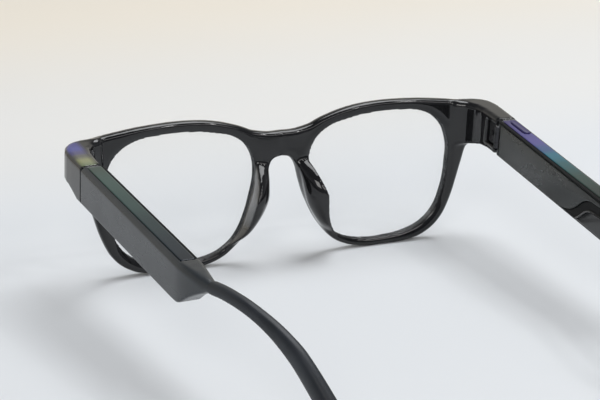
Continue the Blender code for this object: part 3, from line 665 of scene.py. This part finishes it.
def build_lens(side, word):
    edge = offset(np.array(spline([(side * a, b) for a, b in OPENING], 3, closed=True)), 0.88)
    middle = edge.mean(0)
    rings = []
    for share, y in ((0.0, None), (0.25, None), (0.5, None), (0.72, None), (0.88, None), (0.975, None), (1.0, -0.62)):
        yy = -0.8 - 0.8 * (1 - min(1.0, share / 0.975) ** 2) if y is None else y
        rings.append([(middle[0] + (a - middle[0]) * max(share, 0.004), yy, middle[1] + (b - middle[1]) * max(share, 0.004)) for a, b in edge])
    for share, y in ((1.0, 0.62), (0.975, None), (0.88, None), (0.72, None), (0.5, None), (0.25, None), (0.0, None)):
        yy = 0.8 - 0.7 * (1 - min(1.0, share / 0.975) ** 2) if y is None else y
        rings.append([(middle[0] + (a - middle[0]) * max(share, 0.004), yy, middle[1] + (b - middle[1]) * max(share, 0.004)) for a, b in edge])
    verts, faces = loft(rings)
    mesh_object("lens_clear_" + word, front_to_row(verts), faces, LENS, "front", ["lens_" + word], 30)


# ------------------------------------------------------------------ temples
SHAPE = np.array([
    (0.0, -6.05, 6.00, 0.00), (70.0, -6.05, 6.00, 0.00), (73.4, -6.05, 6.02, 0.02), (75.0, -5.6, 6.05, 0.06), (76.2, -4.7, 6.08, 0.12),
    (78.0, -3.3, 6.10, 0.22), (80.5, -1.7, 6.15, 0.40), (83.0, -0.3, 6.10, 0.60), (85.5, 0.9, 6.05, 0.82),
    (88.0, 2.15, 5.95, 1.00), (92.0, 3.0, 6.5, 1.0),
])


def pill(px, py, half, r):
    return np.hypot(np.maximum(np.abs(px) - half, 0), py) - r


def shell_field(side, step):
    u = np.arange(-8.0 * 0 - 3.6, 7.6, step)
    v = np.arange(-0.9, 89.2, step)
    w = np.arange(-7.0, 7.2, step)
    U, V, W = u[:, None, None], v[None, :, None], w[None, None, :]
    lo = np.interp(v, SHAPE[:, 0], SHAPE[:, 1])
    lo = np.convolve(np.pad(lo, 4, "edge"), np.ones(9) / 9, "valid")
    hi = np.interp(v, SHAPE[:, 0], SHAPE[:, 2])
    t = np.interp(v, SHAPE[:, 0], SHAPE[:, 3])
    t = np.convolve(np.pad(t, 4, "edge"), np.ones(9) / 9, "valid")
    slope = np.gradient(lo, v)
    shift = bend(v)
    lo_u = (U_IN + (MID_U - 1.75 - U_IN) * t - shift)[None, :, None]
    hi_u = (U_OUT + (MID_U + 1.75 - U_OUT) * t - shift)[None, :, None]
    t3 = t[None, :, None]
    k = 0.7 + 1.3 * t3
    below = (lo[None, :, None] - W) / np.sqrt(1 + slope ** 2)[None, :, None]
    above = W - hi[None, :, None]
    out, inn = U - hi_u, lo_u - U
    d = smax(out, above, 0.4 + 1.4 * t3)
    d = smax(d, (out + above + 1.3) / 1.414, 0.35 + 1.2 * t3)
    d = smax(d, below, k)
    side_in = smax(inn, above, 0.35 + 1.5 * t3)
    side_in = smax(side_in, (inn + above + 0.5 + 0.5 * t3) / 1.414, 0.3 + 1.2 * t3)
    side_in = smax(side_in, below, 0.8 + 1.2 * t3)
    d = smax(d, side_in, 0.3 + 1.4 * t3)
    seam = 0.17 - math.tan(TOE_IN) * U - V
    d = smax(d, seam + 0 * W, 0.35)
    d = smax(d, V - 88.0 + 0 * W + 0 * U, 0.2)
    d = np.broadcast_to(d, (len(u), len(v), len(w))).astype(np.float32).copy()
    UU, VV, WW = np.broadcast_arrays(U, V, W)

    def cut(shape, soft=0.12):
        nonlocal d
        d = smax(d, -shape, soft).astype(np.float32)

    cut(block(UU, VV, WW, (0.2, 3.2, -4.75), (U_OUT - 1.3, 71.0, 4.7)))
    cut(block(UU, VV, WW, (-6, COVER_FROM - 0.15, -5.45), (0.35, COVER_TO + 0.15, 5.2)))
    cut(block(UU, VV, WW, (0.3, 1.15, 5.45), (4.9, 73.2, 9)))
    r = np.hypot(UU, VV)
    cut(np.maximum(r - 1.55, np.abs(WW) - 3.95))
    cut(r - 1.1)
    cut(block(UU, VV, WW, (-3, -2, -3.5), (1.75, 9.6, 3.5)))
    cut(np.maximum(np.hypot(UU - 2.6, VV - 16.0) - 0.5, WW + 4.0))
    cut(np.maximum(pill(VV - 56.0, UU - 2.3, 4.75, 1.25), WW + 4.0))
    for at in (6.0, 10.0):
        cut(np.maximum(np.hypot(UU - 3.2, VV - at) - 1.0, WW + 4.0))
    if side < 0:
        half = BUTTON_L / 2 - BUTTON_W / 2
        cut(np.maximum(pill(VV - BUTTON_V, UU - BUTTON_U, half, BUTTON_W / 2 + 0.15), 3.5 - WW))
    return d, u, v, w


def build_shell(side, word):
    step = 0.33
    d, u, v, w = shell_field(side, step)
    verts, quads = surface(d, (u[0], v[0], w[0]), step)
    verts = relax(verts, quads, 4, 0.4)
    verts[:, 2] = np.clip(verts[:, 2], -6.05, 6.2)
    made = mesh_object("shell_" + word, temple_to_row(side, verts), quads, SATIN, "temple_" + word, ["temple_shell_" + word], None)
    at = row_to_temple(side, points_of(made))
    # painted shade along the lip between the top strip and the inner cover
    lip = np.clip((0.35 - at[:, 0]) / 0.25, 0, 1) * np.clip((at[:, 2] - 4.9) / 0.2, 0, 1)
    mark_painted_shade(made, lip * np.clip((at[:, 1] - 0.6) / 0.5, 0, 1) * np.clip((73.5 - at[:, 1]) / 0.8, 0, 1))


def plate(side, outline, levels):
    """A plate in the side plane; levels are (u, growth)."""
    rings = []
    for at, grow in levels:
        pts = offset(outline, grow)
        rings.append(temple_to_row(side, [(at, a, b) for a, b in pts]))
    verts, faces = loft([list(map(tuple, r)) for r in rings])
    return verts, faces


def build_covers(side, word):
    split = spline(COVER_SPLIT, 6)
    gap = 0.09
    levels = [(0.05, 0), (-0.52, 0), (-0.62, -0.03), (-0.68, -0.09), (-0.70, -0.18)]
    main = [(COVER_FROM, 3.95), (2.62, 3.95), (2.62, -3.95), (COVER_FROM, -3.95), (COVER_FROM, -5.18), (COVER_FROM + 0.12, -5.3)]
    main += [(a - gap, b + (gap if i else 0)) for i, (a, b) in enumerate(split)]
    main += [(COVER_TO - gap, 4.93), (COVER_TO - gap - 0.12, 5.05), (COVER_FROM + 0.12, 5.05), (COVER_FROM, 4.93)]
    verts, faces = plate(side, main, levels)
    mesh_object("cover_" + word, verts, faces, COVER, "temple_" + word, ["inner_cover_" + word], 40)
    start = COVER_SPLIT[0][0] + 2.2
    rear = [(start, -5.3), (start, -5.15)] + [(a + (gap if a < COVER_TO else 0), b - gap) for a, b in split if a > start] + [(COVER_TO, -5.3)]
    step = (0.11, 0.24, 0.2)
    u, v, w = np.arange(-1.05, 0.4, step[0]), np.arange(start - 0.8, COVER_TO + 0.8, step[1]), np.arange(-6.0, 4.6, step[2])
    V, W = np.meshgrid(v, w, indexing="ij")
    flat = polygon(V, W, rear)[None]
    U = u[:, None, None]
    # a sunken step follows the parting line, with painted shade laid along it below
    away = polygon(V, W, split + [(COVER_TO + 5, split[-1][1]), (COVER_TO + 5, 12), (COVER_SPLIT[0][0], 12)])[None]
    sink = 0.34 * np.clip((2.9 - away) / 0.5, 0, 1)
    d = smax(flat + 0 * U, np.maximum(-0.70 + sink - U, U - 0.05), 0.1)
    verts, quads = surface(d, (u[0], v[0], w[0]), step)
    verts = relax(verts, quads, 4, 0.4)
    made = mesh_object("rear_gloss_" + word, temple_to_row(side, verts), quads, REAR, "temple_" + word, ["rear_cover_" + word], 50)
    # painted shade on the band beside the parting line, over the sunken step
    at = row_to_temple(side, points_of(made))
    away = polygon(at[:, 1], at[:, 2], split + [(COVER_TO + 5, split[-1][1]), (COVER_TO + 5, 12), (COVER_SPLIT[0][0], 12)])
    mark_painted_shade(made, np.clip((2.95 - away) / 0.35, 0, 1))


def build_trim(side, word):
    step = (0.24, 0.3, 0.14)
    u, v, w = np.arange(-0.1, 5.4, step[0]), np.arange(0.5, 74.0, step[1]), np.arange(5.2, 6.4, step[2])
    U, V, W = np.meshgrid(u, v, w, indexing="ij")
    flat = smax(np.maximum(0.45 - U, U - 4.75), np.maximum(1.3 - V, V - 73.05), 0.5)
    d = smax(flat, np.maximum(5.6 - W, W - 6.02), 0.16)
    if side < 0:
        d = smax(d, -pill(V - BUTTON_V, U - BUTTON_U, BUTTON_L / 2 - BUTTON_W / 2, BUTTON_W / 2 + 0.15), 0.12)
    verts, quads = surface(d, (u[0], v[0], w[0]), step)
    verts = relax(verts, quads, 2, 0.3)
    mesh_object("trim_" + word, temple_to_row(side, verts), quads, trim_material("film_" + word, side), "temple_" + word, ["top_trim_" + word], 40)


def build_ear(side, word):
    line = np.array(spline(EAR[:-3], 6) + spline(EAR[-4:], 6)[6:])
    last = line[-1]
    rings = []
    for i, (v, w, high, wide) in enumerate(line):
        a, b = line[max(i - 1, 0)], line[min(i + 1, len(line) - 1)]
        tv, tw = b[0] - a[0], b[1] - a[1]
        size = math.hypot(tv, tw)
        tv, tw = (tv / size, tw / size) if i else (1.0, 0.0)
        rings.append((v, w, tv, tw, high, wide))
    # round the end off with a short dome
    v, w, tv, tw, high, wide = rings[-1]
    for k in (0.25, 0.5, 0.72, 0.9, 0.985):
        rings.append((v + tv * 0.55 * k, w + tw * 0.55 * k, tv, tw, high * math.sqrt(1 - k * k), wide * math.sqrt(1 - k * k)))
    out = []
    for v, w, tv, tw, high, wide in rings:
        nv, nw = -tw, tv
        centre = MID_U - float(bend(v))
        ring = []
        for k in range(40):
            angle = 2 * math.pi * k / 40
            ca, sa = math.cos(angle), math.sin(angle)
            du = wide * math.copysign(abs(ca) ** 0.84, ca)
            dn = high * math.copysign(abs(sa) ** 0.84, sa)
            ring.append((centre + du, v + nv * dn, w + nw * dn))
        out.append(ring)
    verts, faces = loft(out)
    placed = temple_to_row(side, verts)
    placed[:, 2] = np.maximum(placed[:, 2], CAD_BOX[0][2])
    placed[:, 1] = np.minimum(placed[:, 1], CAD_BOX[1][1])
    mesh_object("ear_tip_" + word, placed, faces, EARTIP, "temple_" + word, ["earpiece_" + word], 50)


def build_grille(side, word):
    """A stadium of mesh: real holes in a thin plate, with a solid border."""
    step = (0.12, 0.12, 0.12)
    u, v, w = np.arange(0.7, 3.9, step[0]), np.arange(49.6, 62.4, step[1]), np.arange(-6.1, -4.8, step[2])
    U, V, W = np.meshgrid(u, v, w, indexing="ij")
    flat = pill(V - 56.0, U - 2.3, 4.75, 1.1)
    d = smax(flat, np.maximum(-5.75 - W, W + 5.05), 0.1)
    row = np.round((U - 2.3) / 0.62)
    pitch = 0.72
    along = (V - 56.0) / pitch - 0.5 * (np.abs(row) % 2)
    hole = np.hypot((U - 2.3) - row * 0.62, (along - np.round(along)) * pitch) - 0.2
    hole = np.where(flat < -0.28, hole, 9.0)
    d = smax(d, -hole, 0.06)
    verts, quads = surface(d, (u[0], v[0], w[0]), step)
    verts = relax(verts, quads, 2, 0.3)
    mesh_object("grille_" + word, temple_to_row(side, verts), quads, GRILLE, "temple_" + word, ["speaker_grille_" + word], 40)


def build_button():
    """A pill with a dished top, standing a little proud of the strip."""
    rings = []
    half, r = BUTTON_L / 2 - BUTTON_W / 2, BUTTON_W / 2
    levels = [(4.1, 0), (6.16, 0), (6.28, -0.05), (6.36, -0.14), (6.40, -0.26), (6.39, -0.40), (6.35, -0.62), (6.33, -0.9)]
    for w, grow in levels:
        ring = []
        for k in range(48):
            a = 2 * math.pi * k / 48
            rr = r + grow
            ring.append((BUTTON_U + rr * math.sin(a), BUTTON_V + math.copysign(half, math.cos(a)) + rr * math.cos(a), w))
        rings.append(ring)
    verts, faces = loft(rings)
    mesh_object("button_cap", temple_to_row(-1, verts), faces, BUTTON, "button", ["control_button"], 40)


build_front()
for side, word in ((1, "left"), (-1, "right")):
    build_lens(side, word)
    build_shell(side, word)
    build_covers(side, word)
    build_trim(side, word)
    build_ear(side, word)
    build_grille(side, word)
build_button()

# ------------------------------------------------------------------ the CAD nodes that stay
KEEP = {
    "hinge_leaf_front": BLACKENED, "hinge_leaf_temple": BLACKENED, "hinge_pin": STEEL, "leaf_screw_front": BLACKENED,
    "leaf_screw_temple": BLACKENED, "core_wire": STEEL, "battery": FOIL, "circuit_board": BOARD, "touch_sensor": GOLD,
    "charge_contact_front": GOLD, "charge_contact_rear": GOLD, "speaker": MODULE, "microphone": MODULE, "tact_switch": MODULE,
}
for name, obj in frame["nodes"].items():
    if obj.hide_render:
        continue
    stem = name.replace("_left", "").replace("_right", "")
    finish = KEEP.get(stem, MODULE)
    if not obj.material_slots:
        obj.data.materials.append(finish)
    for item in obj.material_slots:
        item.material = finish

# ------------------------------------------------------------------ stage, camera, light
floor_mesh = bpy.data.meshes.new("floor")
floor_mesh.from_pydata([(-6, -6, -0.00002), (6, -6, -0.00002), (6, 6, -0.00002), (-6, 6, -0.00002)], [], [(0, 1, 2, 3)])
floor = bpy.data.objects.new("floor", floor_mesh)
bpy.context.scene.collection.objects.link(floor)
n = Nodes("pale_floor")
axes = n.axes()
n.colour(n.ramp(n.span(axes[1], -0.75, -0.14, 0, 1), [
    (0.0, (0.84, 0.76, 0.62)), (0.45, (0.84, 0.78, 0.68)), (0.8, (0.79, 0.785, 0.765)), (1.0, (0.735, 0.757, 0.780))]))
n.rough(n.span(n.noise(8.0), 0.3, 0.7, 0.55, 0.7))
n.put("Specular IOR Level", 0.2)
floor_mesh.materials.append(n.mat)

camera_data = bpy.data.cameras.new("camera")
camera = bpy.data.objects.new("camera", camera_data)
bpy.context.scene.collection.objects.link(camera)
place = Vector((0.25598, 0.61476 - Y_SHIFT / 1000, 0.19967 + Z_SHIFT / 1000))
right = Vector((-0.91995, 0.39202, 0.00364)).normalized()
ahead = Vector((-0.37534, -0.87805, -0.29689)).normalized()
up = right.cross(ahead).normalized()
right = ahead.cross(up).normalized()
turn = Matrix((right, up, -ahead)).transposed().to_4x4()
turn.translation = place
camera.matrix_world = turn
camera_data.sensor_width = 36.0
camera_data.lens = 2174.9 * 36 / 600
camera_data.clip_start, camera_data.clip_end = 0.01, 50
bpy.context.scene.camera = camera

world = bpy.data.worlds.new("studio")
bpy.context.scene.world = world
world.use_nodes = True
tree = world.node_tree
background = tree.nodes["Background"]
where = tree.nodes.new("ShaderNodeTexCoord")
split = tree.nodes.new("ShaderNodeSeparateXYZ")
tree.links.new(where.outputs["Generated"], split.inputs[0])
high = tree.nodes.new("ShaderNodeValToRGB")
high.color_ramp.elements[0].position, high.color_ramp.elements[0].color = 0.0, (0.71, 0.69, 0.635, 1)
high.color_ramp.elements[1].position, high.color_ramp.elements[1].color = 1.0, (0.16, 0.17, 0.185, 1)
middle = high.color_ramp.elements.new(0.5)
middle.color = (0.42, 0.43, 0.45, 1)
level = tree.nodes.new("ShaderNodeMapRange")
level.inputs["From Min"].default_value, level.inputs["From Max"].default_value = -0.8, 0.8
tree.links.new(split.outputs[1], level.inputs["Value"])
tree.links.new(level.outputs["Result"], high.inputs[0])
zenith = tree.nodes.new("ShaderNodeMapRange")
zenith.inputs["From Min"].default_value, zenith.inputs["From Max"].default_value = 0.40, 0.8
tree.links.new(split.outputs[2], zenith.inputs["Value"])
both = tree.nodes.new("ShaderNodeMix")
both.data_type = "RGBA"
tree.links.new(zenith.outputs["Result"], both.inputs["Factor"])
sides = [i for i in both.inputs if i.type == "RGBA"]
tree.links.new(high.outputs[0], sides[0])
sides[1].default_value = (0.10, 0.105, 0.115, 1)
tree.links.new([o for o in both.outputs if o.type == "RGBA"][0], background.inputs[0])
background.inputs[1].default_value = 0.95


def lamp(name, at, aim, size, power, colour=(1, 1, 1), tall=None):
    data = bpy.data.lights.new(name, "AREA")
    data.shape = "RECTANGLE"
    data.size, data.size_y = size, tall or size
    data.energy = power
    data.color = colour
    made = bpy.data.objects.new(name, data)
    made.location = at
    made.rotation_euler = (Vector(aim) - Vector(at)).to_track_quat("-Z", "Y").to_euler()
    bpy.context.scene.collection.objects.link(made)


lamp("soft_top", (-0.5, -0.3, 1.6), (0, 0, 0), 1.15, 22.0, (0.97, 0.985, 1.0))
lamp("soft_front", (0.9, 1.6, 1.2), (0, 0, 0.02), 0.8, 9.5, (1.0, 0.985, 0.96))
lamp("banner", (-0.45, 1.15, 0.86), (0, 0, 0.04), 1.1, 3.2, (1.0, 0.96, 0.96), 0.26)
lamp("spot_a", (-0.75, 0.55, 1.15), (0, 0, 0.03), 0.07, 1.0, (1, 1, 1))
lamp("spot_b", (-0.45, 0.9, 1.25), (0, 0, 0.03), 0.07, 1.0, (1, 1, 1))
bpy.context.scene.view_settings.view_transform = "Standard"
bpy.context.scene.view_settings.look = "None"
